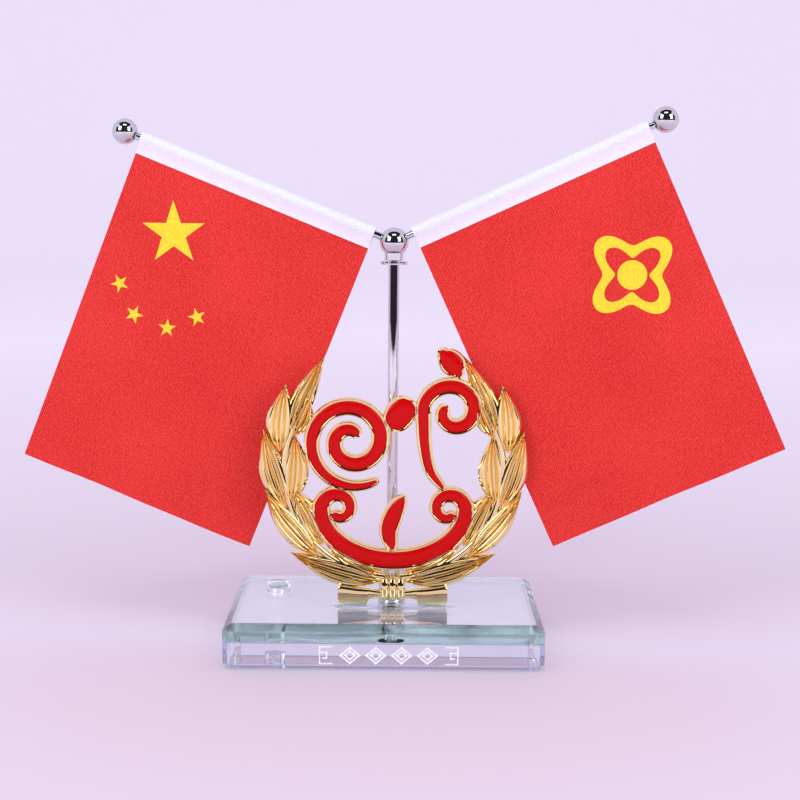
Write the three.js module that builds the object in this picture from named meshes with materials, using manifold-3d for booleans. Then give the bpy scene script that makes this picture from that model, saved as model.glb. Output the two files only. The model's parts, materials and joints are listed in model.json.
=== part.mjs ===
// Desk flag stand: two flags on splayed rods above a base of two bonded glass layers, with a
// gilt wreath emblem in front of the pole.  Millimetres, +Z up, viewer on the -Y side.
// The origin is on the table, under the middle of the whole object seen from above.
import * as THREE from 'three';
import { mergeVertices } from 'three/addons/utils/BufferGeometryUtils.js';
import { ConvexGeometry } from 'three/addons/geometries/ConvexGeometry.js';
import Module from 'manifold-3d';

const wasm = await Module();
wasm.setup();

// ---- Driving dimensions -------------------------------------------------------------

const CLEARANCE = 0.3; // running gap between pieces that fit one another

// Base: a bevelled green plate bonded onto a clear block
const BASE_WIDTH = 100;
const BASE_DEPTH = 62.8;
const BASE_HEIGHT = 14;
const BASE_SHIFT_X = -2.2; // the pole hole is drilled a little right of centre
const POLE_FORWARD = 0.7; // from the middle of the base towards the viewer
const SEAM_HEIGHT = 8.7; // table to the bonded faces
const BEVEL_RUN = 2.7;
const BEVEL_DROP = 1.9;
const CORNER_CHAMFER = 1.6;
const FOOT_CHAMFER = 1.5;

// Perfume well and its stopper
const WELL_DIAMETER = 6.8;
const WELL_FLOOR = 4; // table to the bottom of the well
const WELL_FROM_LEFT = 14;
const WELL_FROM_BACK = 16.4;
const PLUG_HEAD_DIAMETER = 8.4;
const PLUG_HEAD_HEIGHT = 1.8;
const PLUG_SHANK_LENGTH = 4;

// Clamping screw, let into the plate's underside before the block is bonded on
const SCREW_DIAMETER = 4;
const SCREW_ENGAGEMENT = 6.4; // how far it reaches into the ferrule
const SCREW_HEAD_DIAMETER = 7;
const SCREW_HEAD_HEIGHT = 1.6;
const SCREW_SLOT_LENGTH = 4;
const SCREW_SLOT_WIDTH = 0.9;
const WASHER_DIAMETER = 8.4;
const WASHER_THICKNESS = 0.5;

// Pole
const POLE_DIAMETER = 3.5;
const FERRULE_DIAMETER = 9;
const FERRULE_HEIGHT = 12;
const FERRULE_CHAMFER = 0.6;
const POLE_SEAT_DEPTH = 5;
const FLANGE_DIAMETER = 8.8;
const FLANGE_THICKNESS = 1;

// Head
const HEAD_HEIGHT = 130.8; // table to the ball's centre
const HEAD_BALL_DIAMETER = 9.3;
const HEAD_NECK_DIAMETER = 6.1;
const HEAD_NECK_LENGTH = 1.4; // seen below the ball
const HEAD_TURN = THREE.MathUtils.degToRad(-4); // about +Z, right-hand flag nearer the viewer
const POLE_TOP_BELOW_CENTRE = 2.2;

// Rods and finials; the two sockets are not drilled quite level
const ROD_RISE = {
  left: THREE.MathUtils.degToRad(21.6),
  right: THREE.MathUtils.degToRad(24.7),
};
const ROD_DIAMETER = 2.4;
const ROD_SOCKET_START = 2;
const FINIAL_DIAMETER = 8.2;
const FINIAL_SOCKET_DEPTH = 4;
const FINIAL_GAP = 1.5; // sleeve end to finial

// Flags
const FLAG_WIDTH = 80;
const FLAG_GAP = 2.2; // head ball to sleeve
const FLAG_DROP = 110.4; // rod axis to the lower hem
const FLAG_THICKNESS = 0.9;
const SLEEVE_WALL = 0.6;
const SLEEVE_DROP = 5.2; // rod axis to the seam
const SEAM_GAP = 0.3;

// Emblem: places are (across, up) from the middle of the wreath
const EMBLEM_SHIFT_X = 0.4;
const EMBLEM_THICKNESS = 2.5;
const EMBLEM_STANDOFF = 0.7; // ferrule to the back of the casting
const STEM_RADIUS = 35;
const STEM_WIDTH = 2.4;
const LEAF_WIDTH = 7;
const TIE_WRAPS = 3;
const TIE_PITCH = 2.6;
const TIE_HEIGHT = 8.2;
const FOOT_BELOW_STEM = 8.8; // lowest point of the stems' arc to the soles of the feet
const FOOT_REACH = 17.8;
const FOOT_HEIGHT = 5.4;
const GLUE_THICKNESS = 0.5;
const GLUE_REACH = 19.6;
const GLUE_WIDTH = 6.4;

// Scroll ornament
const SCROLL_WIDTH = 5.6;
const RIBBON_WIDTH = 6.6;
const RIBBON_SAG = 16.6;
const VOLUTE_REACH = 17.6;
const VOLUTE_RISE = -12.4;
const VOLUTE_RADIUS = 5.6;
const VOLUTE_EYE = 2.6;
const BUD_WIDTH = 8;
const PEARL_WIDTH = 9.6;
const FLAME_WIDTH = 6.4;
const RIM_WIDTH = 0.75;
const ENAMEL_RECESS = 0.9;
const ENAMEL_GAP = 0.2;

// ---- Materials ----------------------------------------------------------------------

function material(color, roughness, metalness) {
  return new THREE.MeshStandardMaterial({ color, roughness, metalness });
}

const greenGlass = material(0xb9dcd6, 0.05, 0);
const clearGlass = material(0xdfe4f2, 0.05, 0);
const chrome = material(0xd4d6da, 0.12, 1);
const gold = material(0xe3b45a, 0.2, 1);
const enamel = material(0xc8140f, 0.25, 0);
const flagRed = material(0xe0251f, 0.75, 0);
const sleeveWhite = material(0xf2ecf4, 0.8, 0);
const clearPlastic = material(0xe4eaf0, 0.15, 0);

// ---- Solids -------------------------------------------------------------------------

const part = new THREE.Group();

function toSolid(geometry) {
  const bare = geometry.clone();
  bare.deleteAttribute('normal');
  bare.deleteAttribute('uv');
  const merged = mergeVertices(bare);
  const mesh = new wasm.Mesh({
    numProp: 3,
    vertProperties: Float32Array.from(merged.attributes.position.array),
    triVerts: Uint32Array.from(merged.index.array),
  });
  return new wasm.Manifold(mesh);
}

function toGeometry(solid) {
  const mesh = solid.getMesh();
  const geometry = new THREE.BufferGeometry();
  geometry.setAttribute('position', new THREE.BufferAttribute(mesh.vertProperties, 3));
  geometry.setIndex(new THREE.BufferAttribute(mesh.triVerts, 1));
  geometry.computeVertexNormals();
  return geometry;
}

function union(geometries) {
  return geometries.map(toSolid).reduce((sum, solid) => sum.add(solid));
}

function cut(solid, geometries) {
  return geometries.map(toSolid).reduce((rest, tool) => rest.subtract(tool), solid);
}

function addPiece(name, shape, surface, parent = part) {
  const geometry = shape.isBufferGeometry ? shape : toGeometry(shape);
  const mesh = new THREE.Mesh(geometry, surface);
  mesh.name = name;
  parent.add(mesh);
}

// An upright cylinder between two heights, or along +X for pieces that lie on a rod.
function rod(diameter, from, to, sides = 32) {
  const geometry = new THREE.CylinderGeometry(diameter / 2, diameter / 2, to - from, sides);
  return geometry.rotateX(Math.PI / 2).translate(0, 0, (from + to) / 2);
}

function rodAlongX(diameter, from, to, sides = 20) {
  return rod(diameter, from, to, sides).rotateY(Math.PI / 2);
}

function ball(diameter) {
  return new THREE.SphereGeometry(diameter / 2, 28, 16);
}

// Turns a profile of [radius, height] corners about the Z axis.
function turned(profile, sides = 32) {
  const corners = profile.map(([radius, height]) => new THREE.Vector2(radius, height));
  return new THREE.LatheGeometry([...corners, corners[0]], sides).rotateX(Math.PI / 2);
}

// ---- Base, stopper and screw --------------------------------------------------------

const flagStart = HEAD_BALL_DIAMETER / 2 + FLAG_GAP;
const flagEnd = flagStart + FLAG_WIDTH;
const finialReach = flagEnd + FINIAL_GAP + FINIAL_DIAMETER / 2;

// The flags' lower outer corners are the object's widest places.  The pole stands where
// they are equally far from the origin.
function reach(side) {
  const rise = ROD_RISE[side];
  return (flagEnd * Math.cos(rise) + FLAG_DROP * Math.sin(rise)) * Math.cos(HEAD_TURN);
}

const poleX = (reach('left') - reach('right')) / 2;
const poleY = -POLE_FORWARD;
const baseX = poleX + BASE_SHIFT_X;

// The screw's head hangs a clearance above the bonded faces, with the washer on it.
const headBottom = SEAM_HEIGHT + CLEARANCE;
const washerBottom = headBottom + SCREW_HEAD_HEIGHT;
const washerTop = washerBottom + WASHER_THICKNESS;
const screwTop = BASE_HEIGHT + SCREW_ENGAGEMENT;

const wellX = baseX - BASE_WIDTH / 2 + WELL_FROM_LEFT;
const wellY = BASE_DEPTH / 2 - WELL_FROM_BACK;

function octagonCorners(width, depth, cornerCut, height) {
  const corners = [];
  for (const sideX of [-1, 1]) {
    for (const sideY of [-1, 1]) {
      const x = (sideX * width) / 2;
      const y = (sideY * depth) / 2;
      corners.push(new THREE.Vector3(x - sideX * cornerCut, y, height));
      corners.push(new THREE.Vector3(x, y - sideY * cornerCut, height));
    }
  }
  return corners;
}

function atPole(geometry) {
  return geometry.translate(poleX, poleY, 0);
}

// One glass layer from rings of corners, each ring [inset, corner cut, height].
function glassLayer(rings) {
  const corners = rings.flatMap(([inset, cornerCut, height]) => (
    octagonCorners(BASE_WIDTH - 2 * inset, BASE_DEPTH - 2 * inset, cornerCut, height)
  ));
  return toSolid(new ConvexGeometry(corners).translate(baseX, 0, 0));
}

function buildBase() {
  const overshoot = 1;
  const well = rod(WELL_DIAMETER, WELL_FLOOR, BASE_HEIGHT + overshoot);
  well.translate(wellX, wellY, 0);
  const below = SEAM_HEIGHT - overshoot;
  const screwHole = atPole(rod(SCREW_DIAMETER + 2 * CLEARANCE, below, BASE_HEIGHT + overshoot));
  const counterbore = atPole(rod(WASHER_DIAMETER + 2 * CLEARANCE, below, washerTop));

  const plate = glassLayer([
    [0, CORNER_CHAMFER, SEAM_HEIGHT],
    [0, CORNER_CHAMFER, BASE_HEIGHT - BEVEL_DROP],
    [BEVEL_RUN, CORNER_CHAMFER * 0.5, BASE_HEIGHT],
  ]);
  addPiece('base_plate', cut(plate, [well, screwHole, counterbore]), greenGlass);

  const block = glassLayer([
    [FOOT_CHAMFER, CORNER_CHAMFER, 0],
    [0, CORNER_CHAMFER, FOOT_CHAMFER],
    [0, CORNER_CHAMFER, SEAM_HEIGHT],
  ]);
  addPiece('base_block', cut(block, [well]), clearGlass);
}

function buildPlug() {
  const shankRadius = WELL_DIAMETER / 2 - CLEARANCE;
  const plug = turned([
    [0, -PLUG_SHANK_LENGTH],
    [shankRadius, -PLUG_SHANK_LENGTH],
    [shankRadius, 0],
    [PLUG_HEAD_DIAMETER / 2, 0],
    [PLUG_HEAD_DIAMETER / 2, PLUG_HEAD_HEIGHT * 0.7],
    [PLUG_HEAD_DIAMETER / 2 - PLUG_HEAD_HEIGHT * 0.3, PLUG_HEAD_HEIGHT],
    [0, PLUG_HEAD_HEIGHT],
  ]).translate(wellX, wellY, BASE_HEIGHT);
  addPiece('perfume_plug', plug, clearPlastic);
}

function buildScrew() {
  const holeRadius = SCREW_DIAMETER / 2 + CLEARANCE;
  const washer = turned([
    [holeRadius, washerBottom],
    [WASHER_DIAMETER / 2, washerBottom],
    [WASHER_DIAMETER / 2, washerTop],
    [holeRadius, washerTop],
  ]);
  addPiece('screw_washer', atPole(washer), chrome);

  const screw = union([
    rod(SCREW_HEAD_DIAMETER, headBottom, washerBottom),
    rod(SCREW_DIAMETER, headBottom + SCREW_HEAD_HEIGHT / 2, screwTop),
  ]);
  const slots = [
    new THREE.BoxGeometry(SCREW_SLOT_LENGTH, SCREW_SLOT_WIDTH, SCREW_HEAD_HEIGHT),
    new THREE.BoxGeometry(SCREW_SLOT_WIDTH, SCREW_SLOT_LENGTH, SCREW_HEAD_HEIGHT),
  ];
  slots.forEach((slot) => slot.translate(0, 0, headBottom - SCREW_HEAD_HEIGHT * 0.1));
  addPiece('base_screw', cut(screw, slots).translate([poleX, poleY, 0]), chrome);
}

// ---- Pole ---------------------------------------------------------------------------

const flangeTop = HEAD_HEIGHT - HEAD_BALL_DIAMETER / 2 - HEAD_NECK_LENGTH;
const poleTop = HEAD_HEIGHT - POLE_TOP_BELOW_CENTRE;
const ferruleTop = BASE_HEIGHT + FERRULE_HEIGHT;

function buildPole() {
  const poleBottom = ferruleTop - POLE_SEAT_DEPTH;
  const radius = FERRULE_DIAMETER / 2;
  const ferrule = toSolid(turned([
    [0, BASE_HEIGHT],
    [radius, BASE_HEIGHT],
    [radius, ferruleTop - FERRULE_CHAMFER],
    [radius - FERRULE_CHAMFER, ferruleTop],
    [0, ferruleTop],
  ]));
  const overshoot = 1;
  const bores = [
    rod(SCREW_DIAMETER + 2 * CLEARANCE, BASE_HEIGHT - overshoot, screwTop + CLEARANCE),
    rod(POLE_DIAMETER + 2 * CLEARANCE, poleBottom - CLEARANCE, ferruleTop + overshoot),
  ];
  addPiece('pole_ferrule', cut(ferrule, bores).translate([poleX, poleY, 0]), chrome);
  addPiece('main_pole', atPole(rod(POLE_DIAMETER, poleBottom, poleTop)), chrome);

  const flange = turned([
    [POLE_DIAMETER / 2 + CLEARANCE, flangeTop - FLANGE_THICKNESS],
    [FLANGE_DIAMETER / 2, flangeTop - FLANGE_THICKNESS],
    [FLANGE_DIAMETER / 2, flangeTop],
    [POLE_DIAMETER / 2 + CLEARANCE, flangeTop],
  ]);
  addPiece('pole_flange', atPole(flange), chrome);
}

// ---- Head, rods, finials and flags --------------------------------------------------

const head = new THREE.Group();
head.position.set(poleX, poleY, HEAD_HEIGHT);
head.rotation.z = HEAD_TURN;
part.add(head);

// Each side's own +X runs out along its rod and its own -Z hangs down the flag.
function sideFrame(side) {
  const turn = new THREE.Group();
  turn.rotation.z = side === 'left' ? Math.PI : 0;
  const tilt = new THREE.Group();
  tilt.rotation.y = -ROD_RISE[side];
  turn.add(tilt);
  head.add(turn);
  return tilt;
}

function buildHeadBall() {
  const neckBottom = flangeTop + CLEARANCE - HEAD_HEIGHT;
  const body = union([
    ball(HEAD_BALL_DIAMETER),
    rod(HEAD_NECK_DIAMETER, neckBottom, 0),
  ]);
  const socketDiameter = ROD_DIAMETER + 2 * CLEARANCE;
  const sockets = ['left', 'right'].map((side) => {
    const socket = rodAlongX(socketDiameter, ROD_SOCKET_START, HEAD_BALL_DIAMETER);
    socket.rotateY(-ROD_RISE[side]);
    return side === 'left' ? socket.rotateZ(Math.PI) : socket;
  });
  const boreTop = poleTop + CLEARANCE - HEAD_HEIGHT;
  const poleBore = rod(POLE_DIAMETER + 2 * CLEARANCE, neckBottom - 1, boreTop);
  addPiece('head_ball', cut(body, [...sockets, poleBore]), chrome, head);
}

function buildRodAndFinial(side, frame) {
  const socketEnd = finialReach - FINIAL_DIAMETER / 2 + FINIAL_SOCKET_DEPTH;
  const rodStart = ROD_SOCKET_START + CLEARANCE;
  addPiece(`${side}_rod`, rodAlongX(ROD_DIAMETER, rodStart, socketEnd - CLEARANCE), chrome, frame);

  const finial = ball(FINIAL_DIAMETER).translate(finialReach, 0, 0);
  const socketStart = finialReach - FINIAL_DIAMETER;
  const socket = rodAlongX(ROD_DIAMETER + 2 * CLEARANCE, socketStart, socketEnd);
  addPiece(`${side}_finial`, cut(toSolid(finial), [socket]), chrome, frame);
}

// The sleeve is one strip of cloth folded over the rod, its two layers sewn to the flag.
function buildSleeve(side, frame) {
  const bore = ROD_DIAMETER / 2 + CLEARANCE;
  const outer = bore + SLEEVE_WALL;
  const outline = new THREE.Shape();
  const tailAngle = Math.asin(SLEEVE_WALL / outer);
  outline.moveTo(SLEEVE_DROP, SLEEVE_WALL);
  outline.absarc(0, 0, outer, tailAngle, 2 * Math.PI - tailAngle, false);
  outline.lineTo(SLEEVE_DROP, -SLEEVE_WALL);
  outline.closePath();
  const hole = new THREE.Path();
  hole.absarc(0, 0, bore, 0, 2 * Math.PI, true);
  outline.holes.push(hole);
  const strip = new THREE.ExtrudeGeometry(outline, {
    depth: FLAG_WIDTH, bevelEnabled: false, curveSegments: 20,
  });
  // The outline's first axis points down the flag, and the extrusion runs along the rod.
  strip.rotateY(Math.PI / 2).translate(flagStart, 0, 0);
  addPiece(`${side}_flag_sleeve`, strip, sleeveWhite, frame);
}

function buildFlag(side, frame) {
  const panelTop = SLEEVE_DROP + SEAM_GAP;
  const height = FLAG_DROP - panelTop;
  const panel = new THREE.BoxGeometry(FLAG_WIDTH, FLAG_THICKNESS, height);
  panel.translate(flagStart + FLAG_WIDTH / 2, 0, -panelTop - height / 2);
  addPiece(`${side}_flag`, panel, flagRed, frame);
}

// ---- Emblem -------------------------------------------------------------------------

const footBottom = -STEM_RADIUS - FOOT_BELOW_STEM;
const emblemX = poleX + EMBLEM_SHIFT_X;
const emblemBackY = poleY - FERRULE_DIAMETER / 2 - EMBLEM_STANDOFF;

const emblem = new THREE.Group();
emblem.position.set(emblemX, emblemBackY, BASE_HEIGHT + GLUE_THICKNESS - footBottom);
part.add(emblem);

function point(across, up) {
  return new THREE.Vector2(across, up);
}

// Raises an outline from the emblem's back plane towards the viewer.
function raised(outline, thickness, lift = 0) {
  const shape = new THREE.Shape(outline);
  const slab = new THREE.ExtrudeGeometry(shape, { depth: thickness, bevelEnabled: false });
  return slab.rotateX(Math.PI / 2).translate(0, -lift, 0);
}

// A leaf lies between its base and its tip; bow is how far its middle swings sideways.
function leafOutline(base, tip, width, bow) {
  const steps = 8;
  const along = tip.clone().sub(base);
  const across = point(-along.y, along.x).normalize();
  const edge = (side, t) => {
    const half = side * 0.5 * width * Math.sin(Math.PI * t ** 0.85) ** 0.8;
    const offset = bow * Math.sin(Math.PI * t) + half;
    return base.clone().addScaledVector(along, t).addScaledVector(across, offset);
  };
  const outline = [base.clone()];
  for (let step = 1; step < steps; step += 1) outline.push(edge(-1, step / steps));
  outline.push(tip.clone());
  for (let step = steps - 1; step > 0; step -= 1) outline.push(edge(1, step / steps));
  return outline;
}

// Leaves of the left-hand branch from the tie to the tip, as [base, tip, width, bow].
const LEAVES = [
  [point(-3.4, -36.2), point(-33.4, -26.7), LEAF_WIDTH, 1.5],
  [point(-3.4, -34), point(-22.4, -23.2), LEAF_WIDTH * 0.8, 0.8],
  [point(-23.8, -28), point(-41.3, -6.3), LEAF_WIDTH, 1.2],
  [point(-22.6, -24.5), point(-32.6, -5.4), LEAF_WIDTH, -0.8],
  [point(-34.4, -12), point(-41.6, 13.5), LEAF_WIDTH, 1],
  [point(-32.6, -11), point(-31.5, 12.1), LEAF_WIDTH, -0.8],
  [point(-36.4, 6), point(-34.2, 28.2), LEAF_WIDTH, 1],
  [point(-33.2, 11.5), point(-21.8, 37.2), LEAF_WIDTH * 0.85, 0.8],
  [point(-31.6, 11), point(-26.6, 23.8), LEAF_WIDTH * 0.7, -0.6],
];

function mirrored(outline) {
  return outline.map((corner) => point(-corner.x, corner.y)).reverse();
}

function stemOutline() {
  const start = THREE.MathUtils.degToRad(157);
  const end = THREE.MathUtils.degToRad(266);
  const steps = 18;
  const arc = (radius, from, to) => Array.from({ length: steps + 1 }, (_, step) => {
    const angle = from + ((to - from) * step) / steps;
    return point(radius * Math.cos(angle), radius * Math.sin(angle));
  });
  const outer = arc(STEM_RADIUS + STEM_WIDTH / 2, start, end);
  const inner = arc(STEM_RADIUS - STEM_WIDTH / 2, end, start);
  return [...outer, ...inner];
}

// The two stems cross behind the tie and end in feet that are flattened onto the glass.
function footOutline() {
  const top = footBottom + FOOT_HEIGHT;
  return [
    point(0, footBottom + 1.6),
    point(FOOT_REACH * 0.45, footBottom + 1.4),
    point(FOOT_REACH * 0.45, footBottom),
    point(FOOT_REACH, footBottom),
    point(FOOT_REACH, top - 0.4),
    point(FOOT_REACH - 0.7, top),
    point(0, top - 0.4),
  ];
}

// A stroke follows a path; its half width at each place comes from the taper function.
function strokeOutline(path, halfWidth) {
  const last = path.length - 1;
  const left = [];
  const right = [];
  path.forEach((place, index) => {
    const ahead = path[Math.min(index + 1, last)];
    const behind = path[Math.max(index - 1, 0)];
    const along = ahead.clone().sub(behind).normalize();
    const across = point(-along.y, along.x);
    const half = halfWidth(index / last);
    left.push(place.clone().addScaledVector(across, half));
    right.push(place.clone().addScaledVector(across, -half));
  });
  const cap = (place, from, half) => {
    const start = Math.atan2(from.y - place.y, from.x - place.x);
    return [1, 2, 3].map((step) => {
      const angle = start - (Math.PI * step) / 4;
      return point(place.x + half * Math.cos(angle), place.y + half * Math.sin(angle));
    });
  };
  const endCap = cap(path[last], left[last], halfWidth(1));
  const startCap = cap(path[0], right[0], halfWidth(0));
  return [...left, ...endCap, ...right.reverse(), ...startCap].reverse();
}

function spiral(centre, innerRadius, outerRadius, fromDegrees, toDegrees, steps) {
  return Array.from({ length: steps + 1 }, (_, step) => {
    const share = step / steps;
    const angle = THREE.MathUtils.degToRad(fromDegrees + (toDegrees - fromDegrees) * share);
    const radius = innerRadius + (outerRadius - innerRadius) * share;
    return point(centre.x + radius * Math.cos(angle), centre.y + radius * Math.sin(angle));
  });
}

// The lower half of an ellipse without its two ends, from left to right.
function sag(centre, reach, depth, steps) {
  return Array.from({ length: steps - 1 }, (_, index) => {
    const angle = Math.PI * (1 + (index + 1) / steps);
    return point(centre.x + reach * Math.cos(angle), centre.y + depth * Math.sin(angle));
  });
}

function smooth(controls, steps) {
  const curve = new THREE.CatmullRomCurve3(controls.map(({ x, y }) => new THREE.Vector3(x, y, 0)));
  return curve.getPoints(steps).map(({ x, y }) => point(x, y));
}

// Half the width of a stroke that narrows from its middle to a share of it at each end.
function taper(width, startShare, endShare) {
  return (t) => {
    const end = t < 0.5 ? startShare : endShare;
    return 0.5 * width * (end + (1 - end) * Math.sin(Math.PI * t) ** 0.6);
  };
}

// The centre ornament is a bank of clouds: two scrolls over a ribbon, a bud, a pearl and a flame.
const SCROLLS = {
  left_scroll: {
    path: spiral(point(-13.4, 9.6), 3.2, 15.2, -290, 300, 44),
    halfWidth: taper(SCROLL_WIDTH, 0.75, 0.46),
  },
  right_scroll: {
    path: [
      ...spiral(point(18.8, 19.3), 3, 9.6, -190, 170, 28),
      ...smooth([point(9.3, 17), point(9.9, 8), point(11.8, 0), point(15.6, -5.2)], 10),
    ],
    halfWidth: taper(SCROLL_WIDTH * 0.95, 0.75, 0.46),
  },
  bud: {
    path: smooth([point(20.2, 31.8), point(18.4, 34.6), point(15.4, 37.8)], 8),
    halfWidth: taper(BUD_WIDTH, 0.5, 0.5),
  },
  pearl: {
    path: smooth([point(1.2, 17.2), point(2, 18.4), point(3, 19.6)], 4),
    halfWidth: taper(PEARL_WIDTH, 0.96, 0.96),
  },
  flame: {
    path: smooth([point(-0.4, -24.8), point(-1.4, -19.4), point(0.4, -13.6), point(3, -9)], 12),
    halfWidth: taper(FLAME_WIDTH, 0.5, 0.42),
  },
  ribbon: {
    path: [
      ...spiral(point(-VOLUTE_REACH, VOLUTE_RISE), VOLUTE_EYE, VOLUTE_RADIUS, -110, 180, 16),
      ...sag(point(0, VOLUTE_RISE), VOLUTE_REACH + VOLUTE_RADIUS, RIBBON_SAG, 20),
      ...spiral(point(VOLUTE_REACH, VOLUTE_RISE), VOLUTE_RADIUS, VOLUTE_EYE, 0, 290, 16),
    ],
    halfWidth: (t) => RIBBON_WIDTH * (0.3 + 0.2 * Math.sin(Math.PI * t) ** 2),
  },
};

function tieWraps() {
  return Array.from({ length: TIE_WRAPS }, (_, index) => {
    const across = (index - (TIE_WRAPS - 1) / 2) * TIE_PITCH;
    const wrap = rod(TIE_PITCH * 1.15, footBottom + 1, footBottom + 1 + TIE_HEIGHT, 16);
    return wrap.translate(across, -EMBLEM_THICKNESS * 0.8, 0);
  });
}

function buildEmblem() {
  const leftBranch = [stemOutline(), ...LEAVES.map((leaf) => leafOutline(...leaf))];
  const branches = [...leftBranch, ...leftBranch.map(mirrored)];
  const feet = [footOutline(), mirrored(footOutline())];
  const strokes = Object.values(SCROLLS);
  const plates = strokes.map(({ path, halfWidth }) => strokeOutline(path, halfWidth));
  const outlines = [...branches, ...feet, ...plates];
  const metal = union([
    ...outlines.map((outline) => raised(outline, EMBLEM_THICKNESS)),
    ...tieWraps(),
  ]);
  const floor = EMBLEM_THICKNESS - ENAMEL_RECESS;
  const pockets = strokes.map(({ path, halfWidth }) => {
    const outline = strokeOutline(path, (t) => halfWidth(t) - RIM_WIDTH);
    return raised(outline, 2 * ENAMEL_RECESS, floor);
  });
  addPiece('emblem_casting', cut(metal, pockets), gold, emblem);

  for (const [name, { path, halfWidth }] of Object.entries(SCROLLS)) {
    const outline = strokeOutline(path, (t) => halfWidth(t) - RIM_WIDTH - ENAMEL_GAP);
    const fill = raised(outline, ENAMEL_RECESS - ENAMEL_GAP, floor + ENAMEL_GAP);
    addPiece(`enamel_${name}`, fill, enamel, emblem);
  }
}

function buildGlue() {
  const outline = new THREE.Shape();
  outline.absellipse(0, 0, GLUE_REACH, GLUE_WIDTH / 2, 0, 2 * Math.PI, false, 0);
  const glue = new THREE.ExtrudeGeometry(outline, {
    depth: GLUE_THICKNESS, bevelEnabled: false, curveSegments: 20,
  });
  const middleY = poleY - FERRULE_DIAMETER / 2 - CLEARANCE - GLUE_WIDTH / 2;
  addPiece('emblem_glue', glue.translate(emblemX, middleY, BASE_HEIGHT), clearPlastic);
}

buildBase();
buildPlug();
buildScrew();
buildPole();
buildHeadBall();
for (const side of ['left', 'right']) {
  const frame = sideFrame(side);
  buildRodAndFinial(side, frame);
  buildSleeve(side, frame);
  buildFlag(side, frame);
}
buildEmblem();
buildGlue();

export default part;
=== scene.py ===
# Desk flag stand: the looks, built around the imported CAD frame.  Lengths are in metres
# unless a name ends in _mm; MM turns millimetres into metres.
import json
import math

import bmesh
import bpy
from mathutils import Matrix, Vector
from mathutils.geometry import delaunay_2d_cdt


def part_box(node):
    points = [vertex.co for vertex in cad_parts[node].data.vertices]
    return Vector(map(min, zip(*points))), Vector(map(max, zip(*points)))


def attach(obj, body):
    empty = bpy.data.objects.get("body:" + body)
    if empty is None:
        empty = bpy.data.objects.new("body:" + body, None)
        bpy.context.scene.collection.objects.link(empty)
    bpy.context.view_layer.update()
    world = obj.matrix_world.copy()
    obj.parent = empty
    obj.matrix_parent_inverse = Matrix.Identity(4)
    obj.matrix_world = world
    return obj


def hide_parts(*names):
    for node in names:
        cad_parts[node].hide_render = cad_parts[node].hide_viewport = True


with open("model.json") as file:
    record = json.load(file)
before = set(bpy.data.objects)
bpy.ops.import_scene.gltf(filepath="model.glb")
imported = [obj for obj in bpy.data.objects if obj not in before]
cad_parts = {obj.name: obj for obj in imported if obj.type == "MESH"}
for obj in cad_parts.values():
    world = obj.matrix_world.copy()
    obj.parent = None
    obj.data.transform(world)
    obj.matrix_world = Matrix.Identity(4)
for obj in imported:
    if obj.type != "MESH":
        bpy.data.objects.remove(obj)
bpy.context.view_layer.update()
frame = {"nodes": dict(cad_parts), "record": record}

MM = 0.001
WELD_DISTANCE = 1e-7


# ---- Places taken from the frame ----

def middle(node):
    low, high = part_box(node)
    return (Vector(low) + Vector(high)) / 2


def joint_named(name):
    return next(joint for joint in frame["record"]["behaviour"]["joints"] if joint["name"] == name)


POLE = middle("main_pole")
HEAD_CENTRE = Vector(joint_named("head_swivel")["pos_m"])
BASE_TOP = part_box("base_plate")[1][2]
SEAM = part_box("base_block")[1][2]
WELL_MIDDLE = middle("perfume_plug")
ROD_AXIS = {
    side: Vector(joint_named(f"{side}_rod_pull")["axis"]).normalized() for side in ("left", "right")
}


# ---- Mesh helpers ----

def placed(name, data):
    """A new object in the scene that holds a mesh, a light or a camera."""
    obj = bpy.data.objects.new(name, data)
    bpy.context.scene.collection.objects.link(obj)
    return obj


def new_object(name, vertices, faces, smooth=True):
    mesh = bpy.data.meshes.new(name)
    mesh.from_pydata([tuple(v) for v in vertices], [], faces)
    mesh.validate()
    mesh.update()
    if smooth:
        mesh.shade_smooth()
    return placed(name, mesh)


def face_outwards(obj, weld=True):
    form = bmesh.new()
    form.from_mesh(obj.data)
    if weld:
        bmesh.ops.remove_doubles(form, verts=form.verts, dist=WELD_DISTANCE)
    bmesh.ops.recalc_face_normals(form, faces=form.faces)
    form.to_mesh(obj.data)
    form.free()


def sharpen(obj, degrees=35):
    obj.data.set_sharp_from_angle(angle=math.radians(degrees))


def applied(obj):
    """Turns the object's modifiers into its mesh."""
    bpy.context.view_layer.update()
    graph = bpy.context.evaluated_depsgraph_get()
    result = bpy.data.meshes.new_from_object(obj.evaluated_get(graph))
    obj.modifiers.clear()
    obj.data = result


def give(obj, body, slot, *nodes):
    """Rides the piece on its body and hides the CAD nodes it stands for. Its slot is not used."""
    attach(obj, body)
    if nodes:
        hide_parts(*nodes)
    return obj


def shell_faces(levels, count):
    """The faces of a stack of rings with count points each, closed at both ends."""
    faces = [tuple(reversed(range(count)))]
    for level in range(levels - 1):
        low = level * count
        high = low + count
        for k in range(count):
            n = (k + 1) % count
            faces.append((low + k, low + n, high + n, high + k))
    top = (levels - 1) * count
    faces.append(tuple(range(top, top + count)))
    return faces


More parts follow.
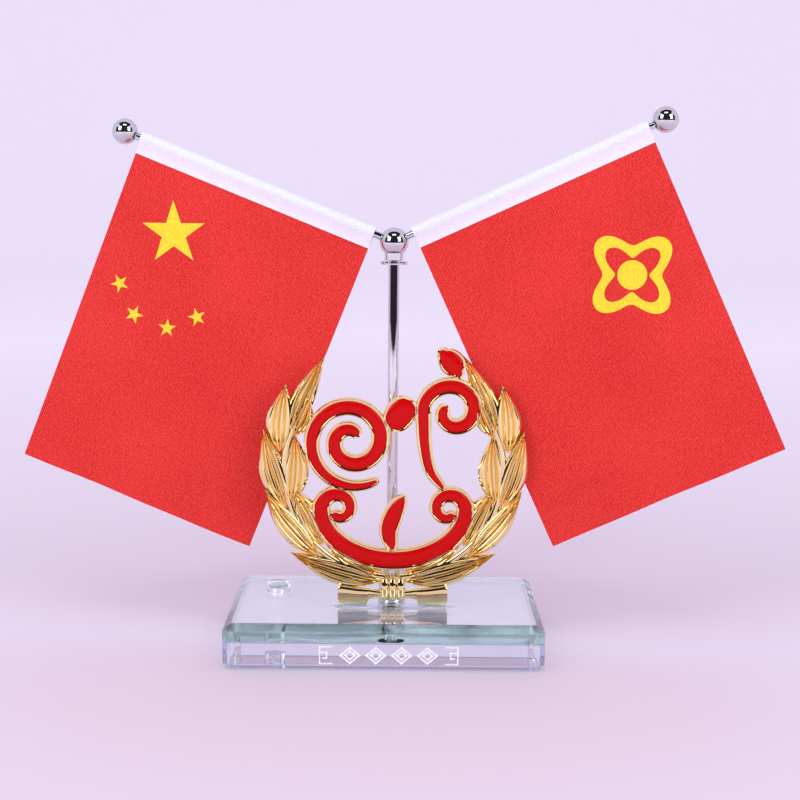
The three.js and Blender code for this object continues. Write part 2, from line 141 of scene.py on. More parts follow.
def turned(name, profile, sides=96):
    """A profile of (radius, height) points in metres, turned about Z; ends may touch the axis."""
    vertices = []
    rings = []
    for radius, height in profile:
        if radius < 1e-9:
            rings.append([len(vertices)])
            vertices.append(Vector((0, 0, height)))
            continue
        ring = []
        for k in range(sides):
            angle = 2 * math.pi * k / sides
            ring.append(len(vertices))
            vertices.append(Vector((radius * math.cos(angle), radius * math.sin(angle), height)))
        rings.append(ring)
    faces = []
    for below, above in zip(rings, rings[1:]):
        for k in range(sides):
            n = (k + 1) % sides
            if len(below) == 1 and len(above) > 1:
                faces.append((below[0], above[n], above[k]))
            elif len(above) == 1 and len(below) > 1:
                faces.append((below[k], below[n], above[0]))
            elif len(below) > 1:
                faces.append((below[k], below[n], above[n], above[k]))
    obj = new_object(name, vertices, faces)
    face_outwards(obj)
    sharpen(obj)
    return obj


def cylinder_profile(radius, low, high):
    return [(0, low), (radius, low), (radius, high), (0, high)]


def rounded(corners, radius, steps=4):
    """Rounds every inner corner of an open profile of (radius, height) points."""
    result = [corners[0]]
    for before, corner, after in zip(corners, corners[1:], corners[2:]):
        here = Vector(corner)
        to_before = Vector(before) - here
        to_after = Vector(after) - here
        size = min(radius, to_before.length * 0.45, to_after.length * 0.45)
        start = here + to_before.normalized() * size
        end = here + to_after.normalized() * size
        for step in range(steps + 1):
            t = step / steps
            bend = start * (1 - t) ** 2 + here * 2 * t * (1 - t) + end * t ** 2
            result.append(tuple(bend))
    result.append(corners[-1])
    return result


def arc_profile(radius, from_degrees, to_degrees, steps=40):
    """Points (radius, height) on a ball's outline between two latitudes."""
    points = []
    for step in range(steps + 1):
        latitude = math.radians(from_degrees + (to_degrees - from_degrees) * step / steps)
        points.append((radius * math.cos(latitude), radius * math.sin(latitude)))
    return points


def turn_to(obj, axis, place):
    """Lays a piece turned about +Z along another axis, with its own origin at a place."""
    obj.data.transform(Vector((0, 0, 1)).rotation_difference(axis).to_matrix().to_4x4())
    obj.data.transform(Matrix.Translation(place))


def join(name, objects):
    form = bmesh.new()
    for obj in objects:
        form.from_mesh(obj.data)
    mesh = bpy.data.meshes.new(name)
    form.to_mesh(mesh)
    form.free()
    for obj in objects:
        bpy.data.objects.remove(obj)
    return placed(name, mesh)


# ---- Materials ----

def set_inputs(node, values):
    """Gives a node's inputs their values; _ in a key stands for a space."""
    for key, value in values.items():
        node.inputs[key.replace("_", " ")].default_value = value
    return node


def add_node(tree, kind, **values):
    return set_inputs(tree.nodes.new(kind), values)


def new_material(name, **values):
    material = bpy.data.materials.new(name)
    material.use_nodes = True
    shader = set_inputs(material.node_tree.nodes["Principled BSDF"], values)
    return material, material.node_tree, shader


def link_noise(tree, shader, scale, detail, low, high, socket):
    """Varies a shader number between low and high with soft noise."""
    place = add_node(tree, "ShaderNodeTexCoord")
    noise = add_node(tree, "ShaderNodeTexNoise", Scale=scale, Detail=detail)
    spread = add_node(
        tree, "ShaderNodeMapRange", From_Min=0.3, From_Max=0.7, To_Min=low, To_Max=high)
    tree.links.new(place.outputs["Object"], noise.inputs["Vector"])
    tree.links.new(noise.outputs["Fac"], spread.inputs["Value"])
    tree.links.new(spread.outputs["Result"], shader.inputs[socket])
    return noise


def add_bump(tree, shader, height_output, strength, distance):
    bump = add_node(tree, "ShaderNodeBump", Strength=strength, Distance=distance)
    tree.links.new(height_output, bump.inputs["Height"])
    tree.links.new(bump.outputs["Normal"], shader.inputs["Normal"])


def add_ramp(tree, source, target, *stops):
    """Feeds the target from the source through a colour ramp with (position, colour) stops."""
    ramp = add_node(tree, "ShaderNodeValToRGB")
    for element, (position, colour) in zip(ramp.color_ramp.elements, stops):
        element.position = position
        element.color = colour
    tree.links.new(source, ramp.inputs["Fac"])
    tree.links.new(ramp.outputs["Color"], target)


def chrome_material():
    material, tree, shader = new_material(
        "chrome_plate", Base_Color=(0.66, 0.66, 0.68, 1), Metallic=1.0)
    noise = link_noise(tree, shader, 260, 4, 0.03, 0.07, "Roughness")
    add_bump(tree, shader, noise.outputs["Fac"], 0.04, 0.00006)
    return material


def gold_material():
    material, tree, shader = new_material(
        "gold_plate", Base_Color=(0.96, 0.76, 0.39, 1), Metallic=1.0)
    noise = link_noise(tree, shader, 420, 5, 0.02, 0.06, "Roughness")
    add_bump(tree, shader, noise.outputs["Fac"], 0.06, 0.0001)
    return material


def enamel_material():
    material, tree, shader = new_material(
        "red_soft_enamel", Base_Color=(0.54, 0.0, 0.0, 1), Coat_Weight=0.1,
        Coat_Roughness=0.08, Specular_IOR_Level=0.12)
    noise = link_noise(tree, shader, 300, 3, 0.16, 0.26, "Roughness")
    add_bump(tree, shader, noise.outputs["Fac"], 0.12, 0.0003)
    return material


def glass_material(name, tint, shade, **values):
    """Clear glass that lets the lamps' light through to what stands in or under it."""
    material, tree, shader = new_material(
        name, Base_Color=tint, Transmission_Weight=1.0, IOR=1.5, **values)
    noise = link_noise(tree, shader, 60, 3, 0.0, 0.012, "Roughness")
    add_bump(tree, shader, noise.outputs["Fac"], 0.02, 0.0001)
    clear = add_node(tree, "ShaderNodeBsdfTransparent", Color=shade)
    path = add_node(tree, "ShaderNodeLightPath")
    mix = add_node(tree, "ShaderNodeMixShader")
    tree.links.new(path.outputs["Is Shadow Ray"], mix.inputs["Fac"])
    tree.links.new(shader.outputs["BSDF"], mix.inputs[1])
    tree.links.new(clear.outputs["BSDF"], mix.inputs[2])
    tree.links.new(mix.outputs["Shader"], tree.nodes["Material Output"].inputs["Surface"])
    return material


def steel_material():
    material, tree, shader = new_material(
        "zinc_steel", Base_Color=(0.86, 0.87, 0.90, 1), Metallic=1.0)
    link_noise(tree, shader, 900, 4, 0.22, 0.4, "Roughness")
    return material


def cloth_material(name, light, dark, grain=0.35, **values):
    """Fine satin-weave cloth: diagonal floats of thread over a crossing grid, on the mesh's
    own flat coordinates in metres."""
    material, tree, shader = new_material(name, **values)
    place = add_node(tree, "ShaderNodeUVMap")
    place.uv_map = "flat"
    noise = add_node(tree, "ShaderNodeTexNoise", Scale=1500, Detail=3, Roughness=0.65)
    weave = add_node(
        tree, "ShaderNodeTexWave", Scale=620, Distortion=6, Detail=3, Detail_Scale=2.5)
    weave.wave_type = "BANDS"
    weave.bands_direction = "DIAGONAL"
    cloud = add_node(tree, "ShaderNodeTexNoise", Scale=25, Detail=2)
    for texture in (noise, weave, cloud):
        tree.links.new(place.outputs["UV"], texture.inputs["Vector"])

    mix = add_node(tree, "ShaderNodeMix")
    mix.data_type = "FLOAT"
    mix.inputs[0].default_value = grain
    tree.links.new(noise.outputs["Fac"], mix.inputs[2])
    tree.links.new(weave.outputs["Fac"], mix.inputs[3])

    cloud_part = add_node(tree, "ShaderNodeMath")
    cloud_part.operation = "MULTIPLY_ADD"
    cloud_part.inputs[1].default_value = 0.3
    tree.links.new(cloud.outputs["Fac"], cloud_part.inputs[0])
    tree.links.new(mix.outputs[0], cloud_part.inputs[2])
    add_ramp(
        tree, cloud_part.outputs[0], shader.inputs["Base Color"], (0.40, dark), (0.86, light))
    add_bump(tree, shader, mix.outputs[0], 0.22, 0.00008)
    return material


CHROME = chrome_material()
GOLD = gold_material()
ENAMEL = enamel_material()
STEEL = steel_material()
# Sheet glass is deeper in colour through its edges than through its faces. On the clear block the
# edge tint also holds painted shade, and the dark bluish chamfer tint is painted shade.
GREEN_FACE = glass_material(
    "green_crystal_face", (0.94, 0.98, 0.98, 1), (0.96, 0.98, 0.98, 1),
    Coat_Weight=1.0, Coat_IOR=2.0)
GREEN_EDGE = glass_material("green_crystal_edge", (0.40, 0.62, 0.56, 1), (0.93, 0.97, 0.96, 1))
CLEAR_FACE = glass_material("clear_crystal_face", (0.97, 0.97, 0.99, 1), (0.96, 0.96, 0.98, 1))
# Clear block edges: a deeper tint for the long path, darkened further with painted shade.
CLEAR_EDGE_TINT_AND_SHADE = glass_material("clear_crystal_edge_tint_and_shade", (0.76, 0.78, 0.82, 1), (0.96, 0.96, 0.98, 1))
# Clear block chamfers: painted shade, a dark bluish tint on the cut corners.
CLEAR_CHAMFER_PAINTED_SHADE = glass_material(
    "clear_crystal_chamfer_painted_shade", (0.34, 0.42, 0.62, 1), (0.96, 0.96, 0.98, 1))
CLEAR_PLASTIC = glass_material(
    "clear_stopper_plastic", (0.95, 0.97, 0.98, 1), (0.96, 0.97, 0.97, 1))
GLUE = glass_material("clear_glue", (0.72, 0.84, 0.90, 1), (0.86, 0.92, 0.95, 1))
PRINTED = {
    "Roughness": 0.7, "Specular_IOR_Level": 0.25, "Sheen_Weight": 0.04, "Sheen_Roughness": 0.4}
TAPE = {
    "grain": 0.6, "Roughness": 0.75, "Transmission_Weight": 0.12, "Sheen_Weight": 0.1,
    "Sheen_Roughness": 0.5}
RED_CLOTH = cloth_material(
    "printed_red_satin", (0.82, 0.050, 0.040, 1), (0.54, 0.007, 0.005, 1), **PRINTED)
YELLOW_CLOTH = cloth_material(
    "printed_yellow_satin", (1.0, 0.80, 0.05, 1), (0.80, 0.52, 0.015, 1), **PRINTED)
# Tape round the rod: a bluish-grey tone that is painted shade from the chrome rod under the tape.
WHITE_TUBE_PAINTED_SHADE = cloth_material(
    "thin_white_tape_over_rod_painted_shade", (0.90, 0.95, 1.0, 1), (0.74, 0.78, 0.90, 1), **TAPE)
WHITE_CLOTH = cloth_material(
    "thin_white_tape", (1.0, 0.98, 1.0, 1), (0.88, 0.84, 0.93, 1), **TAPE)


def painted_glow_frost_material():
    # Frosted etching with a painted glow: its emission makes it shine though it is no lamp.
    material, tree, shader = new_material(
        "frosted_glass_painted_glow", Base_Color=(0.97, 0.96, 0.99, 1), Specular_IOR_Level=0.3,
        Emission_Color=(0.95, 0.94, 1.0, 1), Emission_Strength=0.25)
    link_noise(tree, shader, 2500, 4, 0.6, 0.9, "Roughness")
    return material


FROST_PAINTED_GLOW = painted_glow_frost_material()


def dress(obj, *materials):
    """Gives the object its materials; with several, each face keeps its material index."""
    indices = [polygon.material_index for polygon in obj.data.polygons]
    obj.data.materials.clear()
    for material in materials:
        obj.data.materials.append(material)
    if len(materials) > 1:
        obj.data.polygons.foreach_set("material_index", indices)
    return obj


# ---- Glass base ----

EDGE_ROUND = 0.25 * MM
LEVEL = 0.9  # a face whose normal rises this steeply lies flat
SQUARE_ON = 0.97  # a face whose normal is this near an axis isn't a chamfer
BOND_GAP = 0.02 * MM  # keeps the two layers' faces, and the washer's seat, from coinciding
EDGE_ZONE = 3 * MM  # faces this near the outline count as edges


def ring_of(node, inset, corner, height):
    """An octagon: a rectangle with cut corners, inset from the CAD node's sides."""
    low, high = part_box(node)
    xs = (low[0] + inset, high[0] - inset)
    ys = (low[1] + inset, high[1] - inset)
    return [
        (xs[0] + corner, ys[0], height), (xs[1] - corner, ys[0], height),
        (xs[1], ys[0] + corner, height), (xs[1], ys[1] - corner, height),
        (xs[1] - corner, ys[1], height), (xs[0] + corner, ys[1], height),
        (xs[0], ys[1] - corner, height), (xs[0], ys[0] + corner, height),
    ]


def glass_layer(name, rings, holes):
    """Stacked rings closed into a block, drilled by holes of (place, radius, low, high).
    Material 0 is for flat faces and holes, 1 for upright edges, 2 for slanting ones."""
    vertices = [v for ring in rings for v in ring]
    obj = new_object(name, vertices, shell_faces(len(rings), len(rings[0])), smooth=False)
    form = bmesh.new()
    form.from_mesh(obj.data)
    bmesh.ops.recalc_face_normals(form, faces=form.faces)
    bmesh.ops.bevel(
        form, geom=form.edges[:], offset=EDGE_ROUND, segments=3, profile=0.5, affect="EDGES")
    form.to_mesh(obj.data)
    form.free()
    for place, radius, low, high in holes:
        tool = turned("hole_tool", cylinder_profile(radius, low, high))
        tool.data.transform(Matrix.Translation((place[0], place[1], 0)))
        drill = obj.modifiers.new("drill", "BOOLEAN")
        drill.operation = "DIFFERENCE"
        drill.solver = "EXACT"
        drill.object = tool
        applied(obj)
        bpy.data.objects.remove(tool)
    obj.data.shade_flat()
    low = [min(v[axis] for v in vertices) + EDGE_ZONE for axis in (0, 1)]
    high = [max(v[axis] for v in vertices) - EDGE_ZONE for axis in (0, 1)]
    for polygon in obj.data.polygons:
        x, y = polygon.center.xy
        within = low[0] < x < high[0] and low[1] < y < high[1]
        normal = [abs(part) for part in polygon.normal]
        if within or normal[2] > LEVEL:
            polygon.material_index = 0
        else:
            polygon.material_index = 1 if max(normal) > SQUARE_ON else 2
    return obj


BEVEL_RUN = 2.7 * MM
BEVEL_DROP = 1.9 * MM
CORNER_CUT = 1.6 * MM
FOOT_CUT = 1.5 * MM
WELL_RADIUS = 3.4 * MM
WELL_FLOOR = 4 * MM
SCREW_HOLE_RADIUS = 2.3 * MM
COUNTERBORE_RADIUS = 4.5 * MM
COUNTERBORE_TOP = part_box("screw_washer")[1][2] + BOND_GAP
BEYOND = 5 * MM


def build_base():
    well_hole = (WELL_MIDDLE, WELL_RADIUS, WELL_FLOOR, BASE_TOP + BEYOND)
    screw_hole = (POLE, SCREW_HOLE_RADIUS, SEAM - BEYOND, BASE_TOP + BEYOND)
    counterbore = (POLE, COUNTERBORE_RADIUS, SEAM - BEYOND, COUNTERBORE_TOP)

    plate = glass_layer("green_glass_plate", [
        ring_of("base_plate", 0, CORNER_CUT, SEAM + BOND_GAP),
        ring_of("base_plate", 0, CORNER_CUT, BASE_TOP - BEVEL_DROP),
        ring_of("base_plate", BEVEL_RUN, CORNER_CUT / 2, BASE_TOP),
    ], [well_hole, screw_hole, counterbore])
    block = glass_layer("clear_glass_block", [
        ring_of("base_block", FOOT_CUT, CORNER_CUT, 0),
        ring_of("base_block", 0, CORNER_CUT, FOOT_CUT),
        ring_of("base_block", 0, CORNER_CUT, SEAM - BOND_GAP),
    ], [well_hole])
    dress(plate, GREEN_FACE, GREEN_EDGE, GREEN_EDGE)
    # The block's edge and chamfer materials carry painted shade.
    dress(block, CLEAR_FACE, CLEAR_EDGE_TINT_AND_SHADE, CLEAR_CHAMFER_PAINTED_SHADE)
    give(plate, "stand", "green_crystal", "base_plate")
    give(block, "stand", "clear_crystal", "base_block")


FROST_DEPTH = 0.05 * MM
FROST_INSET = 1.2 * MM  # how far behind the block's front face the frosting lies


def frosted_band():
    """A frosted ornament in the block: nested lozenges between two square frets."""
    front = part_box("base_block")[0][1] + FROST_INSET
    middle_x = POLE[0] - 0.6 * MM
    middle_z = 4.6 * MM
    form = bmesh.new()

    def stroke(path, width_mm):
        for (x1, z1), (x2, z2) in zip(path, path[1:]):
            start = Vector((x1, 0, z1))
            end = Vector((x2, 0, z2))
            along = (end - start).normalized()
            across = Vector((-along.z, 0, along.x)) * width_mm / 2
            start = start - along * width_mm / 2
            end = end + along * width_mm / 2
            corners = (start - across, end - across, end + across, start + across)
            bar = [
                form.verts.new((middle_x + c.x * MM, front + depth, middle_z + c.z * MM))
                for depth in (0, FROST_DEPTH) for c in corners]
            form.faces.new(bar[:4])
            form.faces.new(reversed(bar[4:]))
            for k in range(4):
                n = (k + 1) % 4
                form.faces.new((bar[k], bar[k + 4], bar[n + 4], bar[n]))

    for sign in (-1, 1):
        fret = [(17.6, 2.7), (21.4, 2.7), (21.4, -2.7), (17.6, -2.7)]
        hook = [(21.4, 0.9), (19.2, 0.9), (19.2, -0.9), (20.4, -0.9)]
        for path in (fret, hook):
            stroke([(sign * x, z) for x, z in path], 0.4)
    for index in range(4):
        x = (index - 1.5) * 8
        for reach, width in ((2.9, 0.55), (1.5, 0.5)):
            lozenge = [(x - reach, 0), (x, reach * 0.85), (x + reach, 0), (x, -reach * 0.85)]
            stroke([*lozenge, lozenge[0]], width)
    mesh = bpy.data.meshes.new("frosted_band")
    bmesh.ops.recalc_face_normals(form, faces=form.faces)
    form.to_mesh(mesh)
    form.free()
    give(dress(placed("frosted_band", mesh), FROST_PAINTED_GLOW), "stand", "clear_crystal")


def build_plug():
    low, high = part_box("perfume_plug")
    head_radius = (high[0] - low[0]) / 2
    shank = WELL_RADIUS - 0.3 * MM
    head_top = high[2] - BASE_TOP
    profile = rounded([
        (0, low[2] - BASE_TOP), (shank, low[2] - BASE_TOP), (shank, 0), (head_radius, 0),
        (head_radius, head_top * 0.7), (head_radius * 0.86, head_top),
        (head_radius * 0.55, head_top), (head_radius * 0.5, head_top * 0.75), (0, head_top * 0.75),
    ], 0.25 * MM)
    plug = turned("perfume_stopper", profile)
    plug.data.transform(Matrix.Translation((WELL_MIDDLE[0], WELL_MIDDLE[1], BASE_TOP + BOND_GAP)))
    give(dress(plug, CLEAR_PLASTIC), "plug", "clear_plastic", "perfume_plug")


# ---- Chrome ----

def build_pole():
    def upright(name, node, corners, rounding):
        piece = turned(name, rounded(corners, rounding))
        piece.data.transform(Matrix.Translation((POLE[0], POLE[1], 0)))
        give(dress(piece, CHROME), "stand", "chrome", node)

    def radius_and_ends(node):
        low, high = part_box(node)
        return (high[0] - low[0]) / 2, low[2], high[2]

    upright("pole_tube", "main_pole", cylinder_profile(*radius_and_ends("main_pole")), 0.2 * MM)
    radius, low, high = radius_and_ends("pole_ferrule")
    waist = radius - 0.3 * MM
    upright("pole_foot", "pole_ferrule", [
        (0, low), (radius, low), (radius, low + 1.2 * MM), (waist, low + 1.5 * MM),
        (waist, high - 0.8 * MM), (radius - 1 * MM, high), (0, high)], 0.2 * MM)
    upright(
        "pole_collar", "pole_flange", cylinder_profile(*radius_and_ends("pole_flange")), 0.18 * MM)


def build_head():
    low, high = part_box("head_ball")
    radius = high[2] - HEAD_CENTRE[2]
    neck_radius = 3.05 * MM
    neck_low = low[2] - HEAD_CENTRE[2]
    join_latitude = -math.degrees(math.acos((neck_radius + 0.15 * MM) / radius))
    ball_part = arc_profile(radius, join_latitude, 90, 60)
    neck_top = radius * math.sin(math.radians(join_latitude))
    neck = rounded([
        (0, neck_low), (neck_radius, neck_low), (neck_radius, neck_top), ball_part[0]], 0.15 * MM)
    profile = [*neck[:-1], *ball_part[:-1], (0, radius)]
    head = turned("head_ball_plated", profile)
    head.data.transform(Matrix.Translation(HEAD_CENTRE))
    give(dress(head, CHROME), "head", "chrome", "head_ball")


FINIAL_RADIUS = 4.1 * MM
ROD_RADIUS = 1.2 * MM


def build_rod(side):
    axis = ROD_AXIS[side]
    finial_middle = middle(f"{side}_finial")
    reach = (finial_middle - HEAD_CENTRE).dot(axis)
    start = 2.3 * MM
    end = reach - FINIAL_RADIUS * 0.3
    rod_profile = rounded(cylinder_profile(ROD_RADIUS, start, end), 0.15 * MM)
    rod = turned(f"{side}_rod_plated", rod_profile, 48)
    turn_to(rod, axis, HEAD_CENTRE)
    give(dress(rod, CHROME), f"{side}_rod_set", "chrome", f"{side}_rod")
    profile = arc_profile(FINIAL_RADIUS, -90, 90, 64)
    profile[0] = (0, -FINIAL_RADIUS)
    profile[-1] = (0, FINIAL_RADIUS)
    finial = turned(f"{side}_finial_ball", profile)
    turn_to(finial, axis, HEAD_CENTRE + axis * reach)
    give(dress(finial, CHROME), f"{side}_rod_set", "chrome", f"{side}_finial")


# ---- Flags ----

FLAG_START = 6.85 * MM
FLAG_WIDTH = 80 * MM
FLAG_DROP = 110.4 * MM
SLEEVE_DROP = 5.2 * MM
CLOTH_THICKNESS = 0.22 * MM
CLOTH_STEP = 1.3 * MM
TUCK = 1.6 * MM  # how far the panel is tucked between the sleeve's two layers


def side_axes(side):
    """Along the rod, backwards, and down the flag."""
    along = ROD_AXIS[side]
    across = Vector((0, 0, 1)).cross(along).normalized()
    back = across if across.y > 0 else -across
    down = along.cross(back).normalized()
    if down.z > 0:
        down = -down
    return along, back, down


def ripple(u, v, seed):
    """How far the cloth swings from flat, at u along the rod and v down from it (metres)."""
    hang = min(1.0, max(0.0, (v - SLEEVE_DROP) / (60 * MM)))
    wave = 0.42 * math.sin(2 * math.pi * u / (64 * MM) + seed + v / (150 * MM))
    wave += 0.22 * math.sin(2 * math.pi * u / (29 * MM) + 2.1 * seed - v / (70 * MM))
    return MM * hang * wave


def cloth_sheet(name, side, rows, outlines, seed, materials):
    """A thin closed cloth panel.  outlines are printed figures as flat points (u, v)."""
    along, back, down = side_axes(side)
    top, bottom = rows
    columns = round(FLAG_WIDTH / CLOTH_STEP)
    lines = round((bottom - top) / CLOTH_STEP)
    points = []
    for i in range(columns + 1):
        for j in range(lines + 1):
            points.append(Vector((
                FLAG_START + FLAG_WIDTH * i / columns, top + (bottom - top) * j / lines)))
    edges = []
    for outline in outlines:
        first = len(points)
        count = len(outline)
        points.extend(Vector(p) for p in outline)
        edges.extend((first + k, first + (k + 1) % count) for k in range(count))
    flat, _, triangles, _, _, _ = delaunay_2d_cdt(points, edges, [], 0, 1e-7)

    def inside(p, outline):
        hit = False
        for (x1, y1), (x2, y2) in zip(outline, outline[1:] + outline[:1]):
            if (y1 > p.y) != (y2 > p.y) and p.x < (x2 - x1) * (p.y - y1) / (y2 - y1) + x1:
                hit = not hit
        return hit

    printed = []
    for triangle in triangles:
        centre = sum((flat[k] for k in triangle), Vector((0, 0))) / 3
        printed.append(1 if sum(inside(centre, o) for o in outlines) % 2 else 0)

    vertices = []
    for face_side in (-0.5, 0.5):
        for p in flat:
            depth = ripple(p.x, p.y, seed) + face_side * CLOTH_THICKNESS
            vertices.append(HEAD_CENTRE + along * p.x + down * p.y + back * depth)
    count = len(flat)
    faces = [tuple(t) for t in triangles]
    faces += [tuple(k + count for k in reversed(t)) for t in triangles]
    used = {}
    for triangle in triangles:
        for k in range(3):
            edge = (triangle[k], triangle[(k + 1) % 3])
            used[edge] = used.get(edge, 0) + 1
    rim = [e for e in used if (e[1], e[0]) not in used]
    faces += [(b, a, a + count, b + count) for a, b in rim]
    obj = new_object(name, vertices, faces)
    dress(obj, *materials)
    indices = printed + printed + [0] * len(rim)
    for polygon, index in zip(obj.data.polygons, indices):
        polygon.material_index = index
    layer = obj.data.uv_layers.new(name="flat")
    for loop in obj.data.loops:
        p = flat[loop.vertex_index % count]
        layer.data[loop.index].uv = (p.x, p.y)
    face_outwards(obj, weld=False)
    sharpen(obj, 60)
    return obj


TAPE_THICKNESS = 0.2 * MM
SEAM_MARGIN = 0.2 * MM
TUBE_SLACK = 0.8 * MM  # room between the rod and the cloth round it
LAP_STEPS = 12
TUBE_STEPS = 24
SLEEVE_COLUMNS = 80


def sleeve_path():
    """The folded tape's section as (drop, depth): up one lap, over the rod, down the other."""
    tube = ROD_RADIUS + TUBE_SLACK
    lap = SLEEVE_DROP - SEAM_MARGIN
    shares = [k / LAP_STEPS for k in range(1, LAP_STEPS + 1)]

    def lap_depth(t):
        return tube * (1 - t) ** 1.5 + TAPE_THICKNESS * 0.5 + 0.5 * CLOTH_THICKNESS

    path = [(t * lap, -lap_depth(t)) for t in reversed(shares)]
    for k in range(TUBE_STEPS + 1):
        angle = math.pi * (k / TUBE_STEPS) - math.pi / 2
        path.append((-tube * math.cos(angle), tube * math.sin(angle)))
    return path + [(t * lap, lap_depth(t)) for t in shares]


def build_sleeve(side):
    """Thin white tape folded over the rod; its two layers meet at the seam."""
    along, back, down = side_axes(side)
    path = sleeve_path()
    lap = SLEEVE_DROP - SEAM_MARGIN
    columns = SLEEVE_COLUMNS
    vertices = []
    uvs = []
    lengths = [0.0]
    for a, b in zip(path, path[1:]):
        lengths.append(lengths[-1] + math.dist(a, b))
    normals = []
    for k, place in enumerate(path):
        before = Vector(path[max(k - 1, 0)])
        after = Vector(path[min(k + 1, len(path) - 1)])
        tangent = (after - before).normalized()
        normals.append(Vector((-tangent.y, tangent.x)))
    count = len(path)
    for i in range(columns + 1):
        u = FLAG_START + FLAG_WIDTH * i / columns
        pucker = 0.08 * MM * math.sin(u / (3.1 * MM)) * math.sin(u / (7.7 * MM) + 1)
        for half in (-0.5, 0.5):
            for k, place in enumerate(path):
                drop, depth = Vector(place) + normals[k] * TAPE_THICKNESS * half
                depth += pucker * min(1.0, max(0.0, drop / lap))
                vertices.append(HEAD_CENTRE + along * u + down * drop + back * depth)
                uvs.append((u, lengths[k]))
    ring = 2 * count
    faces = []
    for i in range(columns):
        for k in range(count - 1):
            a = i * ring + k
            faces.append((a, a + 1, a + 1 + ring, a + ring))
            b = a + count
            faces.append((b, b + ring, b + 1 + ring, b + 1))
        for k in (0, count - 1):
            a = i * ring + k
            faces.append((a, a + ring, a + ring + count, a + count))
    for i in (0, columns):
        for k in range(count - 1):
            a = i * ring + k
            faces.append((a, a + count, a + count + 1, a + 1))
    obj = new_object(f"{side}_sleeve_tape", vertices, faces)
    layer = obj.data.uv_layers.new(name="flat")
    for loop in obj.data.loops:
        layer.data[loop.index].uv = uvs[loop.vertex_index]
    face_outwards(obj, weld=False)
    sharpen(obj, 60)
    # Faces round the rod take the second material, whose bluish tone is painted shade.
    tube_lengths = (lengths[LAP_STEPS - 1], lengths[LAP_STEPS + TUBE_STEPS + 1])
    for polygon in obj.data.polygons:
        place = sum(uvs[k][1] for k in polygon.vertices) / len(polygon.vertices)
        polygon.material_index = 1 if tube_lengths[0] < place < tube_lengths[1] else 0
    dress(obj, WHITE_CLOTH, WHITE_TUBE_PAINTED_SHADE)
    give(obj, f"{side}_flag_set", "white_cloth", f"{side}_flag_sleeve")


def build_flags():
    for side in ("left", "right"):
        build_sleeve(side)
        outlines = print_for(side)
        panel = cloth_sheet(
            f"{side}_flag_panel", side, (SLEEVE_DROP - TUCK, FLAG_DROP), outlines,
            1.1 if side == "left" else 2.6, (RED_CLOTH, YELLOW_CLOTH))
        give(panel, f"{side}_flag_set", "red_cloth", f"{side}_flag")


def flat_place(side, across, up):
    """Flat cloth coordinates (u, v) of a point given across (to the viewer's right) and up
    from the head's middle, in metres, on the plane of the flag."""
    along, _, down = side_axes(side)
    matrix = Matrix(((along.x, down.x), (along.z, down.z)))
    return matrix.inverted() @ Vector((across, up))


def outline_round(side, centre, start, count, reach_at):
    """A closed outline on the cloth; corner k lies reach_at(k) from the centre."""
    outline = []
    for k in range(count):
        angle = start + 2 * math.pi * k / count
        reach = reach_at(k)
        p = flat_place(
            side, centre[0] + reach * math.cos(angle), centre[1] + reach * math.sin(angle))
        outline.append((p.x, p.y))
    return outline


STAR_WAIST = 0.382  # a true five-pointed star's inner radius, as a share of its outer one


def upright_star(side, centre, radius, tip_direction):
    """A five-pointed star whose tip points in a direction given across and up."""
    start = math.atan2(tip_direction[1], tip_direction[0])
    return outline_round(
        side, centre, start, 10, lambda k: radius if k % 2 == 0 else radius * STAR_WAIST)


BIG_STAR = (-70.6 * MM, 2.0 * MM)
BIG_STAR_RADIUS = 10.6 * MM
SMALL_STARS = [(-88.4, -14.2), (-83.9, -24.2), (-73.2, -28.5), (-63.4, -24.8)]
SMALL_STAR_RADIUS = 3.1 * MM
KNOT_PLACE = (75.0 * MM, -9.5 * MM)
KNOT_RADIUS = 15.5 * MM
DISC_SHARE = 0.3


def quatrefoil(side, centre, radius):
    """A four-lobed knot device: an outer lobed ring, a lobed hole and a disc in the middle."""
    def lobed(size, depth, count=96):
        def reach_at(k):
            return radius * size * (1 - depth + depth * math.cos(4 * 2 * math.pi * k / count))
        return outline_round(side, centre, math.pi / 4, count, reach_at)

    disc = outline_round(side, centre, 0, 48, lambda k: radius * DISC_SHARE)
    return [lobed(1.0, 0.2), lobed(0.72, 0.26), disc]


def print_for(side):
    if side == "right":
        return quatrefoil(side, KNOT_PLACE, KNOT_RADIUS)
    outlines = [upright_star(side, BIG_STAR, BIG_STAR_RADIUS, (0, 1))]
    for x_mm, z_mm in SMALL_STARS:
        centre = (x_mm * MM, z_mm * MM)
        towards = (BIG_STAR[0] - centre[0], BIG_STAR[1] - centre[1])
        outlines.append(upright_star(side, centre, SMALL_STAR_RADIUS, towards))
    return outlines


# ---- Emblem ----
# Places are (across, up) in millimetres from the middle of the wreath; height is how far a
# point stands in front of the casting's back plane.

EMBLEM_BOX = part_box("emblem_casting")
EMBLEM_X = (EMBLEM_BOX[0][0] + EMBLEM_BOX[1][0]) / 2
EMBLEM_BACK = EMBLEM_BOX[1][1]
STEM_RADIUS = 35
FOOT_BOTTOM = -43.8
EMBLEM_Z = EMBLEM_BOX[0][2] - FOOT_BOTTOM * MM
LEAF_WIDTH = 7


def on_emblem(across, up, height):
    return Vector((EMBLEM_X + across * MM, EMBLEM_BACK - height * MM, EMBLEM_Z + up * MM))


def smoothstep(x):
    x = min(1.0, max(0.0, x))
    return x * x * (3 - 2 * x)


def grid_shell(name, rows):
    """A closed shell from rows of points with equal counts."""
    obj = new_object(name, [p for row in rows for p in row], shell_faces(len(rows), len(rows[0])))
    face_outwards(obj)
    return obj


